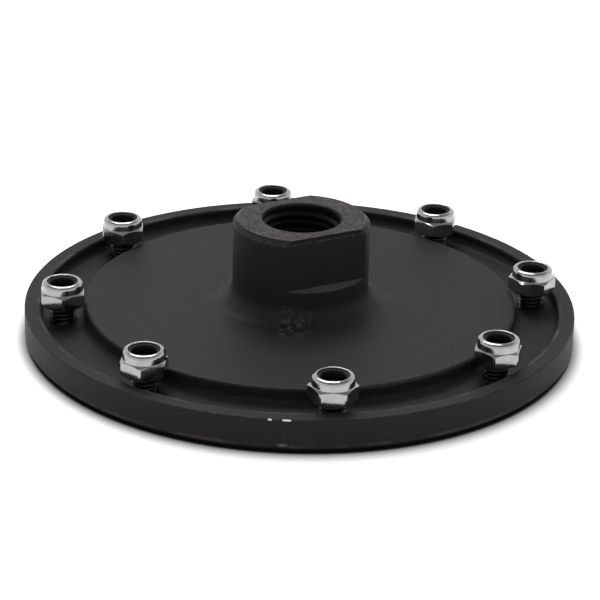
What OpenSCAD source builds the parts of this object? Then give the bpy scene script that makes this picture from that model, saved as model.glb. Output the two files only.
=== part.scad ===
// Mower blade adapter: a turned steel disc with a threaded hub, a channel and a ring of studs.
// The origin is the centre of the underside, +Z is the hub's axis, and the first stud is on +X.
// Lengths are in millimetres and angles in degrees.

/* [Disc] */
// Diameter over the rim
disc_d = 170; // [150:0.5:260]
// Thickness of the web under the channel
web_t = 6.5; // [6:0.1:14]
// Depth of the channel below the central face
channel_depth = 5; // [3:0.1:9]
// Width of the channel, centred on the studs
channel_w = 13.3; // [12.5:0.1:15]
// How much lower the rim is than the central face
rim_drop = 0.8; // [0:0.1:1.8]
// Radius in both bottom corners of the channel
channel_fillet = 2; // [0.5:0.1:2.2]
// Radius on the edge of the central face
face_edge = 0.8; // [0.2:0.1:1]
// Radius on the rim's inner edge
rim_inner_edge = 0.8; // [0.2:0.1:1.5]
// Radius on the rim's outer edge
rim_outer_edge = 0.4; // [0.2:0.1:2]
// Chamfer round the underside
base_chamfer = 2; // [0.5:0.1:3]

/* [Hub] */
// Height of the hub's top above the underside
hub_top = 38; // [34:0.5:60]
// Diameter of the hub
hub_d = 42; // [40:0.5:50]
// Chamfer on the hub's top edge
hub_chamfer = 1.4; // [0.5:0.1:2]
// Radius of the fillet at the hub's foot
hub_fillet = 5.5; // [2:0.1:8]
// Distance across the two wrench flats
flat_af = 32; // [31:0.5:36]
// Length of the wrench flats down from the hub's top
flat_len = 16.3; // [10:0.1:17]
// Turn of the wrench flats from the first stud
flat_turn = 110.4; // [0:0.1:180]

/* [Spindle thread] */
// Nominal diameter of the thread through the hub
thread_d = 24; // [18:1:26]
// Chamfer at both mouths of the thread
thread_chamfer = 0.5; // [0.2:0.1:1]

/* [Stud circle] */
// Distance from the disc's edge in to the studs' axes
stud_inset = 11.7; // [9.5:0.1:20]
// Number of studs and nuts
stud_count = 8; // [3:1:12]
// Gap between the central face and the undersides of the nuts
nut_gap = 0.1; // [0:0.1:6]

/* [Screw] */
// Diameter of the screw thread
screw_d = 8; // [7.8:0.1:8]
// Diameter of the countersunk head
head_d = 16; // [14:0.1:17]
// Height of the straight edge round the head
head_land = 0.4; // [0.2:0.1:0.5]
// How far the head lies inside the underside
head_recess = 0.4; // [0:0.1:0.6]
// Distance across the flats of the key socket
socket_af = 5; // [4:0.5:6]
// Depth of the key socket
socket_depth = 3; // [2:0.1:3.2]
// Chamfer at the screw's end
end_chamfer = 0.9; // [0.4:0.1:1.2]
// Diameter of the clearance hole in the web
hole_d = 8.4; // [8.2:0.1:9]

/* [Lock nut] */
// Distance across the nut's flats
nut_af = 13; // [13:0.1:14]
// How much the rounding takes off each corner of the hexagon
corner_loss = 0.2; // [0.05:0.05:0.3]
// Whole height of the nut
nut_h = 7.8; // [7.6:0.1:10]
// Height of the hexagon
hex_h = 4.9; // [4.2:0.1:6]
// Diameter of the rolled collar
collar_d = 12.5; // [12.2:0.1:12.9]
// Radius of the collar's rolled top edge
collar_round = 1.2; // [0.6:0.1:1.3]
// Diameter of the opening in the collar's top
opening_d = 9.4; // [9:0.1:9.8]
// Thickness of the lip rolled over the nylon
lip_t = 0.5; // [0.3:0.1:0.8]
// Slope of the chamfers at the hexagon's corners
hex_chamfer_angle = 30; // [20:1:35]
// Diameter of the bearing face under the nut
bearing_d = 11.8; // [11:0.1:12.4]

/* [Nylon ring] */
// Outer diameter of the nylon ring
nylon_d = 11; // [10.6:0.1:11.2]
// Hole through the nylon ring
nylon_hole_d = 7.2; // [6.8:0.1:7.5]
// Height of the nylon ring
nylon_h = 2.5; // [1.8:0.1:2.6]

/* [Clearances] */
// Radial clearance in the nut's thread
thread_gap = 0.05; // [0.03:0.01:0.1]
// Clearance between the screw head's cone and its seat
seat_gap = 0.05; // [0.02:0.01:0.1]
// Radial clearance round the nylon ring
nylon_gap = 0.03; // [0.02:0.01:0.08]

/* [Hidden] */
$fn = 96;

// How far a cutting shape runs past the surface that it cuts
overrun = 0.5;
// Turn of each nut from the place where a flat faces outwards, as it was left when run on by hand
nut_turns = [22, -2, 10, 41, -1, 0, -8, 25];

disc_r = disc_d/2;
hub_r = hub_d/2;
stud_r = disc_r - stud_inset;
floor_z = web_t;
face_z = web_t + channel_depth;
rim_z = face_z - rim_drop;
face_r = stud_r - channel_w/2;
rim_in_r = stud_r + channel_w/2;
flat_bottom_z = hub_top - flat_len;

screw_r = screw_d/2;
head_r = head_d/2;
hole_r = hole_d/2;
cone_z = head_recess + head_land;
seat_r = head_r + seat_gap*sqrt(2);

nut_z = face_z + nut_gap;
nylon_seat = nut_h - lip_t - nylon_h;
screw_end_z = nut_z + nylon_seat;
corner_r = nut_af/2/cos(30);
collar_r = collar_d/2;
bearing_r = bearing_d/2;
nylon_r = nylon_d/2;

// Places its children on each stud's axis, turned to face outwards
module at_each_stud() {
    for (i = [0 : stud_count - 1])
        rotate(360/stud_count*i)
            translate([stud_r, 0, 0]) {
                $stud = i;
                children();
            }
}

// Fills the inside corner at the origin between +X and +Y with a concave radius
module corner_fill(r) {
    difference() {
        square(r);
        translate([r, r]) circle(r);
    }
}

// What a square edge at the origin loses when it is rounded: the metal lies towards -X and -Y
module edge_loss(r) {
    difference() {
        translate([-r, -r]) square(r + overrun);
        translate([-r, -r]) circle(r);
    }
}

// What a square edge at the origin loses to a chamfer at 45 degrees
module chamfer_loss(c) {
    polygon([[-c, overrun], [-c, 0], [0, -c], [overrun, -c], [overrun, overrun]]);
}

// Half section of the disc, with its channel and rim
module disc_section() {
    difference() {
        union() {
            square([disc_r, floor_z]);
            square([face_r, face_z]);
            translate([rim_in_r, 0]) square([disc_r - rim_in_r, rim_z]);
            translate([face_r, floor_z]) corner_fill(channel_fillet);
            translate([rim_in_r, floor_z]) mirror([1, 0]) corner_fill(channel_fillet);
        }
        translate([face_r, face_z]) edge_loss(face_edge);
        translate([disc_r, rim_z]) edge_loss(rim_outer_edge);
        translate([rim_in_r, rim_z]) mirror([1, 0]) edge_loss(rim_inner_edge);
        translate([disc_r, 0]) mirror([0, 1]) chamfer_loss(base_chamfer);
    }
}

// Half section of the hub and its foot fillet
module hub_section() {
    difference() {
        square([hub_r, hub_top]);
        translate([hub_r, hub_top]) chamfer_loss(hub_chamfer);
    }
    translate([hub_r, face_z]) corner_fill(hub_fillet);
}

// Half section of the threaded hole with a chamfer at each mouth
module bore_section() {
    mouth = thread_d/2 + thread_chamfer;
    polygon([
        [0, -overrun],
        [mouth, -overrun],
        [mouth, 0],
        [thread_d/2, thread_chamfer],
        [thread_d/2, hub_top - thread_chamfer],
        [mouth, hub_top],
        [mouth, hub_top + overrun],
        [0, hub_top + overrun]
    ]);
}

// The two opposite flats for a wrench, milled down to a ledge
module wrench_flats() {
    for (side = [0, 180])
        rotate(flat_turn + side)
            translate([flat_af/2, -hub_r, flat_bottom_z])
                cube([hub_r, hub_d, flat_len + overrun]);
}

// Clearance hole through the web, with the head's countersunk seat in the underside
module screw_seat() {
    cone_top_z = cone_z + seat_r - hole_r;
    translate([0, 0, -overrun]) cylinder(r = hole_r, h = floor_z + 2*overrun);
    translate([0, 0, -overrun])
        cylinder(r1 = seat_r + cone_z + overrun, r2 = hole_r, h = cone_top_z + overrun);
}

// One screw: countersunk head with a key socket, shank and chamfered end
module screw() {
    difference() {
        rotate_extrude()
            polygon([
                [0, head_recess],
                [head_r, head_recess],
                [head_r, cone_z],
                [screw_r, cone_z + head_r - screw_r],
                [screw_r, screw_end_z - end_chamfer],
                [screw_r - end_chamfer, screw_end_z],
                [0, screw_end_z]
            ]);
        translate([0, 0, head_recess - overrun])
            cylinder(r = socket_af/2/cos(30), h = socket_depth + overrun, $fn = 6);
    }
}

// Solid of revolution that rounds the hexagon's corners and chamfers them at top and bottom
module hex_envelope() {
    drop = tan(hex_chamfer_angle);
    side_r = corner_r - corner_loss;
    rotate_extrude()
        polygon([
            [0, 0],
            [bearing_r, 0],
            [side_r, (side_r - bearing_r)*drop],
            [side_r, hex_h - (side_r - collar_r)*drop],
            [collar_r, hex_h],
            [0, hex_h]
        ]);
}

// Collar above the hexagon, with its rolled top edge
module collar() {
    rotate_extrude()
        difference() {
            translate([0, hex_h/2]) square([collar_r, nut_h - hex_h/2]);
            translate([collar_r, nut_h]) edge_loss(collar_round);
        }
}

// What is open inside the nut: the thread, the nylon ring's groove and the opening in the lip
module nut_inside() {
    thread_r = screw_r + thread_gap;
    groove_r = nylon_r + nylon_gap;
    rotate_extrude()
        polygon([
            [0, -overrun],
            [thread_r + overrun, -overrun],
            [thread_r, overrun],
            [thread_r, nylon_seat],
            [groove_r, nylon_seat],
            [groove_r, nut_h - lip_t],
            [opening_d/2, nut_h - lip_t],
            [opening_d/2, nut_h + overrun],
            [0, nut_h + overrun]
        ]);
}

// One lock nut's metal shell, with its underside at the origin and a flat facing +X
module nut_shell() {
    difference() {
        union() {
            intersection() {
                rotate(30) cylinder(r = corner_r, h = hex_h, $fn = 6);
                hex_envelope();
            }
            collar();
        }
        nut_inside();
    }
}

// One nylon ring, standing on the shoulder inside its nut
module nylon_ring() {
    translate([0, 0, nylon_seat])
        rotate_extrude()
            translate([nylon_hole_d/2, 0])
                square([nylon_r - nylon_hole_d/2, nylon_h]);
}

module adapter_body() {
    color([0.23, 0.22, 0.23])
        difference() {
            rotate_extrude()
                difference() {
                    union() {
                        disc_section();
                        hub_section();
                    }
                    bore_section();
                }
            wrench_flats();
            at_each_stud() screw_seat();
        }
}

module stud_screws() {
    color([0.08, 0.08, 0.09])
        at_each_stud() screw();
}

module lock_nuts() {
    color([0.82, 0.83, 0.85])
        at_each_stud()
            translate([0, 0, nut_z])
                rotate(nut_turns[$stud % len(nut_turns)])
                    nut_shell();
}

module nylon_rings() {
    color([0.04, 0.04, 0.04])
        at_each_stud()
            translate([0, 0, nut_z])
                nylon_ring();
}

adapter_body();
stud_screws();
lock_nuts();
nylon_rings();
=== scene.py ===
import math

import bmesh
import bpy
from mathutils import Matrix, Vector


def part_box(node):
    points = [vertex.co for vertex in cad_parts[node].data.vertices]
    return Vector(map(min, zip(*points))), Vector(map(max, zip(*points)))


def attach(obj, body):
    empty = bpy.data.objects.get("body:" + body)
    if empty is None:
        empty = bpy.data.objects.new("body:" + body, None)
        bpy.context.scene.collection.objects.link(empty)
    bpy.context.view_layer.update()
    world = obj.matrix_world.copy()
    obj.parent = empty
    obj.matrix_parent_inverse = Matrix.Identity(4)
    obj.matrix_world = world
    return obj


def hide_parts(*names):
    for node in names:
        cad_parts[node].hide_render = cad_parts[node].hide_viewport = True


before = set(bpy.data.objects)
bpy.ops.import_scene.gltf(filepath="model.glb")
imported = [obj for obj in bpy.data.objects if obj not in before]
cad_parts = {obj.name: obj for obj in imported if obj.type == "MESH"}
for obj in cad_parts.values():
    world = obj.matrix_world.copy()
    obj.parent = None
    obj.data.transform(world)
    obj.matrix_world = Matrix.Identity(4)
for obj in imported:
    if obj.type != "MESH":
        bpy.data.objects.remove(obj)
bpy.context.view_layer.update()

MM = 0.001
TURN = 2 * math.pi

# Sizes of the solids that the new pieces follow
STUD_COUNT = 8
STUD_RING_R = 73.3
HUB_TOP_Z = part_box("adapter_body")[1].z / MM
SCREW_BOTTOM_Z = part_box("stud_screws")[0].z / MM
SCREW_END_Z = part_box("stud_screws")[1].z / MM
NUT_BOTTOM_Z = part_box("lock_nuts")[0].z / MM
NUT_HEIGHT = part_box("lock_nuts")[1].z / MM - NUT_BOTTOM_Z
NYLON_BOTTOM_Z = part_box("nylon_rings")[0].z / MM
NYLON_TOP_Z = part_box("nylon_rings")[1].z / MM

# Countersunk screw
SCREW_R = 4.0
SCREW_PITCH = 1.25
SCREW_ROOT_R = 3.3
SCREW_END_CHAMFER = 0.9
THREAD_START_Z = 5.4
ROWS_PER_PITCH = 10
HEAD_R = 8.0
HEAD_LAND = 0.4
SOCKET_ACROSS_FLATS = 5.0
SOCKET_DEPTH = 3.0
SOCKET_CONE = 0.8

# Lock nut
NUT_TURNS = [22, -2, 10, 41, -1, 0, -8, 25]
NUT_ACROSS_FLATS = 13.0
NUT_CORNER_LOSS = 0.2
NUT_HEX_HEIGHT = 4.9
NUT_COLLAR_R = 6.25
NUT_COLLAR_ROUND = 1.2
NUT_OPENING_R = 4.7
NUT_LIP = 0.5
NUT_BEARING_R = 5.9
NUT_CHAMFER_DEGREES = 30
NUT_THREAD_R = 4.05
NUT_GROOVE_R = 5.53

# Nylon ring
NYLON_R = 5.5
NYLON_HOLE_R = 3.6

# Thread in the hub
BORE_R = 12.0
HUB_THREAD_PITCH = 2.5
HUB_THREAD_DEPTH = 1.0

# Edges, marks and painted highlights on the body
BODY_R = 85.0
RIM_INNER_R = 79.95
BASE_EDGE_Z = 2.0
HUB_R = 21.0
HUB_CHAMFER = 1.4
LEDGE_Z = 21.7
# FOOT_LEFT and FOOT_RIGHT are the centres of the painted highlights beside the hub's foot
FOOT_LEFT = (-24.5, 3.0, 11.8)
FOOT_RIGHT = (24.5, -2.0, 11.8)
FOOT_FLECKS = (-5.5, -25.0, 12.0)
CHIPS = [((-19.0, -82.8, 10.5), 0.9), ((-14.4, -83.8, 10.5), 2.0)]
CHIP_Z = 10.5
RUB_MARK = (-15.5, -83.6, 2.8)

# Stage
FLOOR_HALF_SIDE = 6.0
FLOOR_GREY = 0.8
FLOOR_GLOW = 0.5
CONTACT_SHADOW_REACH = 7.0
WORLD_FILL = 0.6
SKY_GREY = 0.3
LAMP_PLACE = (-0.05, 0.42, 0.8)
LAMP_SIDE = 0.5
LAMP_WATTS = 5

# Camera, from the ellipses of the rim, the face and the hub in the photograph
IMAGE_PIXELS = 600
SENSOR_WIDTH = 36.0
CAMERA_FOCAL_PIXELS = 2396.5
CAMERA_AZIMUTH = -7.82
CAMERA_ELEVATION = 24.046
CAMERA_DISTANCE = 748.6
CAMERA_ROLL = 1.392
CAMERA_AIM = (0.045, 0, 10.546)


# Mesh helpers

def ring_faces(rows, columns, seam_shift=0):
    """Faces between neighbouring rings of points; a thread's rings are shifted at the seam."""
    faces = []
    for row in range(rows - 1):
        for column in range(columns):
            beside = (column + 1) % columns
            beside_row = row + (seam_shift if beside == 0 else 0)
            if beside_row < rows - 1:
                faces.append([
                    row * columns + column,
                    beside_row * columns + beside,
                    (beside_row + 1) * columns + beside,
                    (row + 1) * columns + column,
                ])
    return faces


def revolved(profile_at, angles, seam_shift=0):
    """Points and faces of a form whose profile of (r, z) is given for each angle round its axis."""
    profiles = [profile_at(angle) for angle in angles]
    rows = len(profiles[0])
    points = []
    for row in range(rows):
        for angle, profile in zip(angles, profiles):
            r, z = profile[row]
            points.append((r * math.cos(angle), r * math.sin(angle), z))
    return points, ring_faces(rows, len(angles), seam_shift)


def even_angles(count):
    """Angles in radians that divide one turn evenly."""
    return [TURN * index / count for index in range(count)]


def joined(shapes):
    """One shape from several, each a pair of points and faces."""
    points = []
    faces = []
    for shape_points, shape_faces in shapes:
        start = len(points)
        points.extend(shape_points)
        faces.extend([[index + start for index in face] for face in shape_faces])
    return points, faces


def on_each_stud(shape_at):
    """One shape from a copy on each stud's axis; shape_at gives the copy and its own turn."""
    copies = []
    for stud in range(STUD_COUNT):
        shape, own_turn = shape_at(stud)
        place = (
            Matrix.Rotation(TURN * stud / STUD_COUNT, 4, "Z")
            @ Matrix.Translation((STUD_RING_R, 0, 0))
            @ Matrix.Rotation(math.radians(own_turn), 4, "Z")
        )
        copies.append(([place @ Vector(point) for point in shape[0]], shape[1]))
    return joined(copies)


def soft_corners(corners, steps=3, closed=False):
    """A profile of (r, z) from corners of (r, z, radius), with an arc at each corner."""
    profile = []
    count = len(corners)
    for index, (r, z, radius) in enumerate(corners):
        is_end = not closed and index in (0, count - 1)
        if radius == 0 or is_end:
            profile.append((r, z))
            continue
        here = Vector((r, z))
        before = (Vector(corners[index - 1][:2]) - here).normalized()
        after = (Vector(corners[(index + 1) % count][:2]) - here).normalized()
        half_angle = before.angle(after) / 2
        centre = here + (before + after).normalized() * radius / math.sin(half_angle)
        start = here + before * radius / math.tan(half_angle) - centre
        end = here + after * radius / math.tan(half_angle) - centre
        for step in range(steps + 1):
            arm = start.normalized().slerp(end.normalized(), step / steps)
            profile.append(tuple(centre + arm * radius))
    if closed:
        profile.append(profile[0])
    return profile


def make_piece(name, shape, material, sharp_degrees=25):
    """A mesh object on the root body, with hard edges only where its faces meet steeply."""
    points, faces = shape
    mesh = bpy.data.meshes.new(name)
    mesh.from_pydata([Vector(point) * MM for point in points], [], faces)
    work = bmesh.new()
    work.from_mesh(mesh)
    bmesh.ops.remove_doubles(work, verts=work.verts, dist=1e-7)
    bmesh.ops.recalc_face_normals(work, faces=work.faces)
    work.to_mesh(mesh)
    work.free()
    mesh.shade_smooth()
    mesh.set_sharp_from_angle(angle=math.radians(sharp_degrees))
    mesh.materials.append(material)
    piece = bpy.data.objects.new(name, mesh)
    bpy.context.scene.collection.objects.link(piece)
    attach(piece, "root")
    return piece


# Screws

def hexagon_radius(angle, across_flats):
    """Radius of a hexagon at an angle from the middle of one of its flats."""
    from_flat = (angle + TURN / 12) % (TURN / 6) - TURN / 12
    return across_flats / 2 / math.cos(from_flat)


def screw_head_profile(angle):
    """Profile from the bottom of the key socket, over the head, to the start of the thread."""
    socket_r = hexagon_radius(angle, SOCKET_ACROSS_FLATS)
    socket_z = SCREW_BOTTOM_Z + SOCKET_DEPTH
    land_z = SCREW_BOTTOM_Z + HEAD_LAND
    return soft_corners([
        (0, socket_z + SOCKET_CONE, 0),
        (socket_r, socket_z, 0),
        (socket_r, SCREW_BOTTOM_Z, 0.2),
        (HEAD_R, SCREW_BOTTOM_Z, 0.12),
        (HEAD_R, land_z, 0.1),
        (SCREW_R, land_z + HEAD_R - SCREW_R, 0.6),
        (SCREW_R, THREAD_START_Z, 0),
    ])


def thread_depth_share(phase):
    """Depth of a thread's flank from 0 on the crest to 1 at the root, over one pitch."""
    crest_half = 0.08
    root_start = 0.38
    from_crest = abs((phase + 0.5) % 1 - 0.5)
    share = (from_crest - crest_half) / (root_start - crest_half)
    return min(1, max(0, share))


def screw_thread_profile(angle):
    """Profile of the thread at one angle, held inside its start and its chamfered end."""
    lead = angle / TURN
    pitches = math.ceil((SCREW_END_Z - THREAD_START_Z) / SCREW_PITCH) + 1
    end_r = SCREW_R - SCREW_END_CHAMFER
    profile = []
    for row in range((pitches + 1) * ROWS_PER_PITCH):
        phase = row / ROWS_PER_PITCH
        z = THREAD_START_Z + SCREW_PITCH * (phase - 1 + lead)
        z = min(SCREW_END_Z, max(THREAD_START_Z, z))
        run_in = min(1, (z - THREAD_START_Z) / SCREW_PITCH)
        depth = (SCREW_R - SCREW_ROOT_R) * thread_depth_share(phase) * run_in
        profile.append((min(SCREW_R - depth, end_r + SCREW_END_Z - z), z))
    return profile


def screw_shape():
    """One countersunk screw on its own axis."""
    angles = even_angles(48)
    end_r = SCREW_R - SCREW_END_CHAMFER
    return joined([
        revolved(screw_head_profile, angles),
        revolved(screw_thread_profile, angles, seam_shift=ROWS_PER_PITCH),
        revolved(lambda angle: [(end_r, SCREW_END_Z), (0, SCREW_END_Z)], angles),
    ])


# Lock nuts

def nut_side_r(angle):
    """Radius of the hexagon with its rounded corners."""
    corner_r = NUT_ACROSS_FLATS / 2 / math.cos(TURN / 12) - NUT_CORNER_LOSS
    return min(corner_r, hexagon_radius(angle, NUT_ACROSS_FLATS))


def nut_profile(angle):
    """Closed profile of the nut's shell, from the bearing face round the outside and back."""
    slope = math.tan(math.radians(NUT_CHAMFER_DEGREES))
    side_r = nut_side_r(angle)
    low_z = (side_r - NUT_BEARING_R) * slope
    high_z = NUT_HEX_HEIGHT - (side_r - NUT_COLLAR_R) * slope
    seat_z = NYLON_BOTTOM_Z - NUT_BOTTOM_Z
    lip_z = NUT_HEIGHT - NUT_LIP
    corners = soft_corners([
        (NUT_THREAD_R + 0.5, 0, 0),
        (NUT_BEARING_R, 0, 0.2),
        (side_r, low_z, 0.12),
        (side_r, high_z, 0.12),
        (NUT_COLLAR_R, NUT_HEX_HEIGHT, 0.2),
        (NUT_COLLAR_R, NUT_HEIGHT, NUT_COLLAR_ROUND),
        (NUT_OPENING_R, NUT_HEIGHT, 0.2),
        (NUT_OPENING_R, lip_z, 0.1),
        (NUT_GROOVE_R, lip_z, 0),
        (NUT_GROOVE_R, seat_z, 0),
        (NUT_THREAD_R, seat_z, 0),
        (NUT_THREAD_R, 0.5, 0),
    ], steps=4, closed=True)
    return [(r, z + NUT_BOTTOM_Z) for r, z in corners]


def nut_angles():
    """Angles with extra ones where each rounded corner of the hexagon meets its flats."""
    corner_r = nut_side_r(TURN / 12)
    meeting = math.degrees(math.acos(NUT_ACROSS_FLATS / 2 / corner_r))
    from_flat = [-30, -28.6, -meeting, -24, -18, -12, -6, 0, 6, 12, 18, 24, meeting, 28.6]
    return [math.radians(60 * flat + degrees) for flat in range(6) for degrees in from_flat]


# Nylon rings

def nylon_profile(angle):
    """Closed profile of the ring, with its inner edge worn round by the thread."""
    return soft_corners([
        (NYLON_HOLE_R, NYLON_BOTTOM_Z, 0.3),
        (NYLON_R, NYLON_BOTTOM_Z, 0.1),
        (NYLON_R, NYLON_TOP_Z, 0.1),
        (NYLON_HOLE_R, NYLON_TOP_Z, 0.7),
    ], steps=4, closed=True)


# Thread in the hub

def hub_thread_shape():
    """A ridge that winds up the hub's wall, tapering out at both mouths."""
    steps_per_turn = 96
    end_gap = 1.3
    sunk = 0.05
    bottom_z = end_gap
    top_z = HUB_TOP_Z - end_gap
    turns = (top_z - bottom_z) / HUB_THREAD_PITCH
    steps = int(turns * steps_per_turn)
    base_half = 0.42 * HUB_THREAD_PITCH
    crest_half = 0.1 * HUB_THREAD_PITCH
    points = []
    for step in range(steps + 1):
        angle = TURN * step / steps_per_turn
        z = bottom_z + HUB_THREAD_PITCH * step / steps_per_turn
        from_end = min(step, steps - step) / steps_per_turn
        height = HUB_THREAD_DEPTH * min(1, 0.04 + from_end * 2)
        loop = soft_corners([
            (BORE_R + sunk, z - base_half, 0),
            (BORE_R, z - base_half, 0),
            (BORE_R - height, z - crest_half, 0.02),
            (BORE_R - height, z + crest_half, 0.02),
            (BORE_R, z + base_half, 0),
            (BORE_R + sunk, z + base_half, 0),
        ], steps=2)
        points.extend((r * math.cos(angle), r * math.sin(angle), z) for r, z in loop)
    around = len(loop)
    faces = ring_faces(steps + 1, around)
    faces.append(list(range(around)))
    faces.append(list(range(steps * around, (steps + 1) * around)))
    return points, faces


# Material helpers

def new_material(name):
    """A material with a Principled shader, returned with its tree and that shader."""
    material = bpy.data.materials.new(name)
    material.use_nodes = True
    tree = material.node_tree
    return material, tree, tree.nodes["Principled BSDF"]


def add_node(tree, kind, inputs=None, **settings):
    """A node with its settings; inputs are values, or sockets that are linked."""
    node = tree.nodes.new(kind)
    for name, value in settings.items():
        setattr(node, name, value)
    for key, value in (inputs or {}).items():
        if isinstance(value, bpy.types.NodeSocket):
            tree.links.new(value, node.inputs[key])
        else:
            node.inputs[key].default_value = value
    return node


def calc(tree, operation, first, second=0.0, third=0.0, clamp=False):
    """The output of one Math node."""
    inputs = {0: first, 1: second, 2: third}
    node = add_node(tree, "ShaderNodeMath", inputs, operation=operation, use_clamp=clamp)
    return node.outputs[0]


def blend_value(tree, value, low, high, low_out=0.0, high_out=1.0):
    """The value moved smoothly from one range to another and held inside it."""
    inputs = {0: value, 1: low, 2: high, 3: low_out, 4: high_out}
    node = add_node(tree, "ShaderNodeMapRange", inputs, interpolation_type="SMOOTHSTEP")
    return node.outputs[0]


def blend_colour(tree, share, first, second):
    """One colour turning into another."""
    inputs = {0: share, 6: first, 7: second}
    node = add_node(tree, "ShaderNodeMix", inputs, data_type="RGBA")
    return node.outputs[2]


def noise(tree, place, size, detail=3.0, roughness=0.55):
    """Noise whose features are about size millimetres wide."""
    inputs = {"Vector": place, "Scale": 1 / (size * MM), "Detail": detail, "Roughness": roughness}
    return add_node(tree, "ShaderNodeTexNoise", inputs).outputs["Fac"]


def line_noise(tree, along, size, detail=2.0):
    """Noise that changes only with one length, such as the radius, for lines left by a tool."""
    inputs = {"W": along, "Scale": 1 / (size * MM), "Detail": detail}
    return add_node(tree, "ShaderNodeTexNoise", inputs, noise_dimensions="1D").outputs["Fac"]


def bump(tree, height, depth, normal=None):
    """A bump of the height, whose full range is depth millimetres deep."""
    inputs = {"Height": height, "Distance": depth * MM, "Strength": 1.0}
    if normal is not None:
        inputs["Normal"] = normal
    return add_node(tree, "ShaderNodeBump", inputs).outputs["Normal"]


def place_of(tree):
    """The point in the part's frame, its height and its distance from the axis."""
    place = add_node(tree, "ShaderNodeTexCoord").outputs["Object"]
    parts = add_node(tree, "ShaderNodeSeparateXYZ", {0: place}).outputs
    flat = add_node(tree, "ShaderNodeCombineXYZ", {0: parts[0], 1: parts[1]}).outputs[0]
    length = add_node(tree, "ShaderNodeVectorMath", {0: flat}, operation="LENGTH")
    return place, parts[2], length.outputs["Value"]


# Materials

def near_point(tree, place, centre, inner, outer):
    """1 close to a point of the part, falling to 0 further away; lengths in millimetres."""
    inputs = {0: place, 1: Vector(centre) * MM}
    away = add_node(tree, "ShaderNodeVectorMath", inputs, operation="DISTANCE").outputs["Value"]
    return blend_value(tree, away, inner * MM, outer * MM, 1.0, 0.0)


def in_band(tree, value, middle, half, soft):
    """1 where a length is near a middle value, falling to 0 outside it; all in millimetres."""
    away = calc(tree, "ABSOLUTE", calc(tree, "SUBTRACT", value, middle * MM))
    return blend_value(tree, away, half * MM, (half + soft) * MM, 1.0, 0.0)


def worn_and_highlit_edges(tree, place, radius, z):
    """Lighter edges on the rim's edges, the base and the hub's top edge: the steady bands along the
    rim's inner edge and the base chamfer's top edge are painted highlights, the chips on the rim's
    outer edge and the specks on the hub's top edges are coating rubbed thin.
    """
    patches = blend_value(tree, noise(tree, place, 9, detail=2), 0.42, 0.62)
    specks = blend_value(tree, noise(tree, place, 0.8, detail=3), 0.4, 0.7)
    broken = calc(tree, "MULTIPLY", calc(tree, "MULTIPLY", patches, specks), 0.45)
    high = blend_value(tree, z, 10.1 * MM, 10.4 * MM)
    rim_inner = calc(tree, "MULTIPLY", in_band(tree, radius, RIM_INNER_R + 0.7, 0.35, 0.5), high)
    rim_outer = calc(tree, "MULTIPLY", in_band(tree, radius, BODY_R - 0.2, 0.25, 0.3), high)
    base = calc(
        tree, "MULTIPLY", in_band(tree, z, BASE_EDGE_Z + 0.4, 0.3, 0.5),
        blend_value(tree, radius, (BODY_R - 0.3) * MM, (BODY_R - 0.1) * MM),
    )
    hub = in_band(tree, z, HUB_TOP_Z - HUB_CHAMFER - 0.1, 0.15, 0.25)
    hub_rim = calc(
        tree, "MULTIPLY", in_band(tree, radius, HUB_R - HUB_CHAMFER, 0.2, 0.3),
        blend_value(tree, z, (HUB_TOP_Z - 0.3) * MM, (HUB_TOP_Z - 0.1) * MM),
    )
    # Painted highlight: steady, patchy lighter bands along the rim's inner edge and the base
    # chamfer's top edge
    painted_edge_highlight = calc(tree, "MULTIPLY", calc(tree, "MAXIMUM", base, rim_inner), patches)
    chipped = calc(tree, "MULTIPLY", rim_outer, broken)
    hub_edges = calc(tree, "MULTIPLY", calc(tree, "MAXIMUM", hub, hub_rim), specks)
    wear_and_painted_highlight = calc(tree, "MAXIMUM", calc(tree, "MULTIPLY", painted_edge_highlight, 0.55), chipped)
    return calc(tree, "MAXIMUM", wear_and_painted_highlight, hub_edges)


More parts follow.
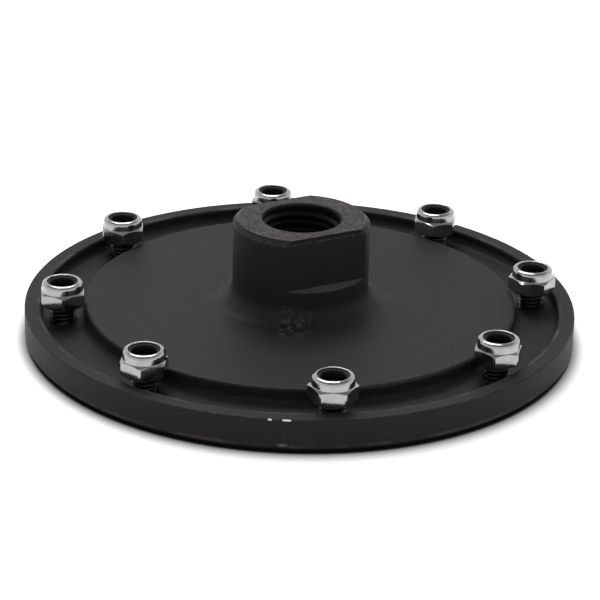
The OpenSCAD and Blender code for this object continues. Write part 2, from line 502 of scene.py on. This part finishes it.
def phosphated_steel():
    """Dark, faintly brown steel with turning marks, worn edges with painted highlights along them,
    a bare, faced hub top, painted highlights beside the hub's foot and painted shade in the bore.
    """
    material, tree, shader = new_material("phosphated_steel")
    shader.inputs["Specular IOR Level"].default_value = 0.15
    shader.inputs["Specular Tint"].default_value = (1.0, 0.94, 0.92, 1)
    place, z, radius = place_of(tree)
    cloud = noise(tree, place, 16)
    grain = noise(tree, place, 0.5, detail=4)
    reach = calc(tree, "ADD", radius, calc(tree, "MULTIPLY", z, 0.7))
    marks = line_noise(tree, reach, 0.35)
    broad_marks = line_noise(tree, reach, 4.0)
    base = blend_colour(tree, cloud, (0.0085, 0.008, 0.0085, 1), (0.014, 0.0115, 0.011, 1))
    rings = blend_value(tree, broad_marks, 0.3, 0.7, 0.0, 0.5)
    base = blend_colour(tree, rings, base, (0.015, 0.0145, 0.0145, 1))
    base = blend_colour(tree, blend_value(tree, grain, 0.45, 0.8), base, (0.026, 0.024, 0.024, 1))

    # Painted highlight: lighter where the hub's foot meets the face, at its two sides
    foot_painted_highlight = calc(
        tree, "MAXIMUM",
        near_point(tree, place, FOOT_LEFT, 2.5, 7), near_point(tree, place, FOOT_RIGHT, 2.5, 7),
    )
    base = blend_colour(tree, calc(tree, "MULTIPLY", foot_painted_highlight, 0.5), base, (0.03, 0.026, 0.024, 1))

    # Rough flecks in front of the hub's foot
    fleck_place = near_point(tree, place, FOOT_FLECKS, 2, 9)
    fleck_noise = noise(tree, place, 1.6, detail=5, roughness=0.7)
    flecks = calc(tree, "MULTIPLY", fleck_place, blend_value(tree, fleck_noise, 0.5, 0.6))
    pits = calc(tree, "MULTIPLY", fleck_place, blend_value(tree, fleck_noise, 0.36, 0.44, 1.0, 0.0))
    base = blend_colour(tree, flecks, base, (0.06, 0.053, 0.05, 1))
    base = blend_colour(tree, pits, base, (0.002, 0.002, 0.002, 1))

    # Thin coating and painted highlights on the edges, and chips down to bare metal
    wear_and_painted_highlight = worn_and_highlit_edges(tree, place, radius, z)
    base = blend_colour(tree, wear_and_painted_highlight, base, (0.07, 0.066, 0.064, 1))
    ragged = noise(tree, place, 0.45, detail=3)
    chips = 0.0
    for centre, size in CHIPS:
        spot = near_point(tree, place, centre, size * 0.3, size)
        chips = calc(tree, "MAXIMUM", chips, spot)
    chips = calc(tree, "MULTIPLY", chips, in_band(tree, z, CHIP_Z, 0.05, 0.3))
    chips = calc(tree, "MULTIPLY", chips, in_band(tree, radius, BODY_R - 0.1, 0.3, 0.2))
    chips = calc(tree, "MULTIPLY", chips, calc(tree, "ADD", ragged, 0.4))
    chips = blend_value(tree, chips, 0.3, 0.75)
    base = blend_colour(tree, chips, base, (0.8, 0.8, 0.8, 1))
    rub_height = in_band(tree, z, RUB_MARK[2], 0.2, 0.4)
    rub = calc(tree, "MULTIPLY", near_point(tree, place, RUB_MARK, 0.6, 1.9), rub_height)
    base = blend_colour(tree, rub, base, (0.12, 0.112, 0.11, 1))

    # The top of the hub is faced on a lathe and nearly bare
    hub_top = blend_value(tree, z, (HUB_TOP_Z - 0.5) * MM, (HUB_TOP_Z - 0.1) * MM)
    scratches = noise(tree, place, 1.1, detail=5, roughness=0.75)
    bare_share = calc(tree, "MULTIPLY", blend_value(tree, scratches, 0.4, 0.66, 0.1, 1.0), hub_top)
    ring_marks = blend_value(tree, marks, 0.35, 0.65)
    bare = blend_colour(tree, ring_marks, (0.016, 0.015, 0.0145, 1), (0.1, 0.094, 0.09, 1))
    base = blend_colour(tree, bare_share, base, bare)

    # The ledge under the wrench flats is cut bare too
    inside_wall = blend_value(tree, radius, (HUB_R - 0.3) * MM, (HUB_R - 0.1) * MM, 1.0, 0.0)
    ledge = calc(tree, "MULTIPLY", in_band(tree, z, LEDGE_Z, 0.04, 0.04), inside_wall)
    ledge = calc(tree, "MULTIPLY", ledge, blend_value(tree, scratches, 0.3, 0.7, 0.4, 1.0))
    base = blend_colour(tree, ledge, base, (0.14, 0.13, 0.13, 1))

    # Painted shade: the bore's wall is coloured nearly black, since hardly any light gets into the
    # threaded bore
    bore_wall = blend_value(tree, radius, (BORE_R + 0.2) * MM, (BORE_R + 0.4) * MM, 1.0, 0.0)
    below_mouth = blend_value(tree, z, (HUB_TOP_Z - 1.2) * MM, (HUB_TOP_Z - 0.4) * MM, 1.0, 0.0)
    bore_painted_shade = calc(tree, "MULTIPLY", bore_wall, below_mouth)
    base = blend_colour(tree, bore_painted_shade, base, (0.002, 0.0018, 0.0018, 1))
    tree.links.new(base, shader.inputs["Base Color"])

    metal = calc(tree, "MAXIMUM", calc(tree, "MULTIPLY", bare_share, 0.75), chips)
    metal = calc(tree, "MAXIMUM", metal, calc(tree, "MULTIPLY", wear_and_painted_highlight, 0.4))
    metal = calc(tree, "MAXIMUM", metal, calc(tree, "MULTIPLY", ledge, 0.4))
    tree.links.new(metal, shader.inputs["Metallic"])
    rough = blend_value(tree, grain, 0.3, 0.7, 0.5, 0.66)
    rough = calc(tree, "SUBTRACT", rough, calc(tree, "MULTIPLY", metal, 0.2))
    rough = calc(tree, "MAXIMUM", rough, calc(tree, "MULTIPLY", bore_painted_shade, 0.9))
    tree.links.new(rough, shader.inputs["Roughness"])
    coarse = calc(tree, "MULTIPLY", fleck_place, fleck_noise)
    fine = bump(tree, grain, 0.02)
    fine = bump(tree, coarse, 0.5, fine)
    fine = bump(tree, calc(tree, "MULTIPLY", hub_top, marks), 0.12, fine)
    fine = bump(tree, calc(tree, "MULTIPLY", hub_top, scratches), 0.25, fine)
    tree.links.new(bump(tree, marks, 0.008, fine), shader.inputs["Normal"])
    return material


def bore_steel_painted_shade():
    """The steel of the thread inside the hub, coloured nearly black as painted shade."""
    material, tree, shader = new_material("bore_steel_painted_shade")
    shader.inputs["Specular IOR Level"].default_value = 0.12
    place = place_of(tree)[0]
    grain = noise(tree, place, 0.5, detail=4)
    colour = blend_colour(tree, grain, (0.002, 0.0018, 0.0018, 1), (0.006, 0.005, 0.005, 1))
    tree.links.new(colour, shader.inputs["Base Color"])
    rough = blend_value(tree, grain, 0.3, 0.7, 0.3, 0.5)
    tree.links.new(rough, shader.inputs["Roughness"])
    tree.links.new(bump(tree, grain, 0.02), shader.inputs["Normal"])
    return material


def bright_plating():
    """Bright zinc plate, faintly uneven as a pressed nut is."""
    material, tree, shader = new_material("bright_plating")
    place = place_of(tree)[0]
    shader.inputs["Metallic"].default_value = 1.0
    cloud = noise(tree, place, 3)
    fine = noise(tree, place, 0.4)
    colour = blend_colour(tree, cloud, (0.26, 0.265, 0.27, 1), (0.48, 0.48, 0.485, 1))
    tree.links.new(colour, shader.inputs["Base Color"])
    rough = blend_value(tree, fine, 0.3, 0.7, 0.1, 0.2)
    tree.links.new(rough, shader.inputs["Roughness"])
    tree.links.new(bump(tree, cloud, 0.03), shader.inputs["Normal"])
    return material


def black_screw():
    """Blackened steel with a light sheen on the thread's crests."""
    material, tree, shader = new_material("black_screw")
    place = place_of(tree)[0]
    shader.inputs["Metallic"].default_value = 1.0
    grain = noise(tree, place, 0.3)
    colour = blend_colour(tree, grain, (0.03, 0.03, 0.032, 1), (0.07, 0.07, 0.072, 1))
    tree.links.new(colour, shader.inputs["Base Color"])
    rough = blend_value(tree, grain, 0.3, 0.7, 0.28, 0.45)
    tree.links.new(rough, shader.inputs["Roughness"])
    tree.links.new(bump(tree, grain, 0.01), shader.inputs["Normal"])
    return material


def black_nylon():
    """Black moulded nylon, satin and slightly scuffed."""
    material, tree, shader = new_material("black_nylon")
    shader.inputs["Specular IOR Level"].default_value = 0.12
    place = place_of(tree)[0]
    grain = noise(tree, place, 0.3)
    colour = blend_colour(tree, grain, (0.004, 0.004, 0.004, 1), (0.012, 0.012, 0.012, 1))
    tree.links.new(colour, shader.inputs["Base Color"])
    rough = blend_value(tree, grain, 0.3, 0.7, 0.4, 0.6)
    tree.links.new(rough, shader.inputs["Roughness"])
    tree.links.new(bump(tree, grain, 0.02), shader.inputs["Normal"])
    return material


# Pieces

steel = phosphated_steel()
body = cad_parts["adapter_body"]
body.data.materials[0] = steel

screw = screw_shape()
screws = make_piece("screws", on_each_stud(lambda stud: (screw, 0)), black_screw())
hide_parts("stud_screws")

nut = revolved(nut_profile, nut_angles())
nuts = make_piece(
    "nuts", on_each_stud(lambda stud: (nut, NUT_TURNS[stud])), bright_plating()
)
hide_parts("lock_nuts")

nylon = revolved(nylon_profile, even_angles(48))
rings = make_piece("rings", on_each_stud(lambda stud: (nylon, 0)), black_nylon())
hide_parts("nylon_rings")

make_piece("hub_thread", hub_thread_shape(), bore_steel_painted_shade())


# Floor, lamps and world

def light_path_mix(tree, plain, shown):
    """A shader that the camera, glossy and transmission rays see as shown, and others as plain."""
    path = add_node(tree, "ShaderNodeLightPath").outputs
    seen = calc(tree, "MAXIMUM", path["Is Camera Ray"], path["Is Glossy Ray"])
    seen = calc(tree, "MAXIMUM", seen, path["Is Transmission Ray"])
    return add_node(tree, "ShaderNodeMixShader", {0: seen, 1: plain, 2: shown}).outputs[0]


def make_world():
    """White behind the object, and a softer even light on it."""
    world = bpy.data.worlds.new("studio")
    bpy.context.scene.world = world
    world.use_nodes = True
    tree = world.node_tree
    tree.nodes.clear()
    fill = add_node(tree, "ShaderNodeBackground", {0: (1, 1, 1, 1), 1: WORLD_FILL}).outputs[0]
    direction = add_node(tree, "ShaderNodeTexCoord").outputs["Generated"]
    height = add_node(tree, "ShaderNodeSeparateXYZ", {0: direction}).outputs[2]
    level = blend_value(tree, height, 0.45, 0.8, 1.0, SKY_GREY)
    white = add_node(tree, "ShaderNodeBackground", {0: (1, 1, 1, 1), 1: level}).outputs[0]
    output = add_node(tree, "ShaderNodeOutputWorld")
    tree.links.new(light_path_mix(tree, fill, white), output.inputs[0])


def make_floor():
    """A pale floor that shows white and keeps the lamp's shadow of the object, with a painted
    contact shadow near the part.
    """
    size = FLOOR_HALF_SIDE
    mesh = bpy.data.meshes.new("floor")
    corners = [(-size, -size, 0), (size, -size, 0), (size, size, 0), (-size, size, 0)]
    mesh.from_pydata(corners, [], [[0, 1, 2, 3]])
    floor = bpy.data.objects.new("floor", mesh)
    bpy.context.scene.collection.objects.link(floor)
    material = bpy.data.materials.new("floor_white")
    material.use_nodes = True
    tree = material.node_tree
    tree.nodes.clear()
    # Painted contact shadow: near the part, the floor's colour and glow darken with ambient
    # occlusion
    reach = {"Distance": CONTACT_SHADOW_REACH * MM}
    nearby = add_node(tree, "ShaderNodeAmbientOcclusion", reach, samples=16)
    open_share = blend_value(tree, nearby.outputs["AO"], 0.3, 0.9)
    pale = (FLOOR_GREY, FLOOR_GREY, FLOOR_GREY, 1)
    matte_colour = blend_colour(tree, open_share, (0.02, 0.02, 0.02, 1), pale)
    matte = add_node(tree, "ShaderNodeBsdfDiffuse", {"Color": matte_colour}).outputs[0]
    glow_level = calc(tree, "MULTIPLY", open_share, FLOOR_GLOW)
    glow_inputs = {"Color": (1, 1, 1, 1), "Strength": glow_level}
    glow = add_node(tree, "ShaderNodeEmission", glow_inputs).outputs[0]
    lit = add_node(tree, "ShaderNodeAddShader", {0: matte, 1: glow}).outputs[0]
    output = add_node(tree, "ShaderNodeOutputMaterial")
    tree.links.new(light_path_mix(tree, matte, lit), output.inputs["Surface"])
    mesh.materials.append(material)


def make_lamp(name, place, size, watts):
    """A square soft lamp that looks at the part."""
    lamp = bpy.data.lights.new(name, "AREA")
    lamp.size = size
    lamp.energy = watts
    holder = bpy.data.objects.new(name, lamp)
    holder.location = place
    aim = Vector((0, 0, 0)) - Vector(place)
    holder.rotation_euler = aim.to_track_quat("-Z", "Y").to_euler()
    bpy.context.scene.collection.objects.link(holder)


def make_camera():
    """The photograph's camera, found from the part's round edges."""
    elevation = math.radians(CAMERA_ELEVATION)
    back = Vector((0, -math.cos(elevation), math.sin(elevation)))
    place = back * CAMERA_DISTANCE
    ahead = (Vector(CAMERA_AIM) - place).normalized()
    right = ahead.cross(Vector((0, 0, 1))).normalized()
    up = right.cross(ahead)
    roll = math.radians(CAMERA_ROLL)
    rolled_right = right * math.cos(roll) + up * math.sin(roll)
    rolled_up = up * math.cos(roll) - right * math.sin(roll)
    axes = Matrix((rolled_right, rolled_up, -ahead)).transposed().to_4x4()
    pose = Matrix.Translation(place * MM) @ axes
    camera = bpy.data.cameras.new("camera")
    camera.sensor_width = SENSOR_WIDTH
    camera.lens = CAMERA_FOCAL_PIXELS * SENSOR_WIDTH / IMAGE_PIXELS
    camera.clip_start = 0.01
    camera.clip_end = 20
    holder = bpy.data.objects.new("camera", camera)
    holder.matrix_world = Matrix.Rotation(math.radians(CAMERA_AZIMUTH), 4, "Z") @ pose
    bpy.context.scene.collection.objects.link(holder)
    bpy.context.scene.camera = holder


make_world()
make_floor()
make_lamp("top_light", LAMP_PLACE, LAMP_SIDE, LAMP_WATTS)
make_camera()
bpy.context.scene.view_settings.view_transform = "Standard"
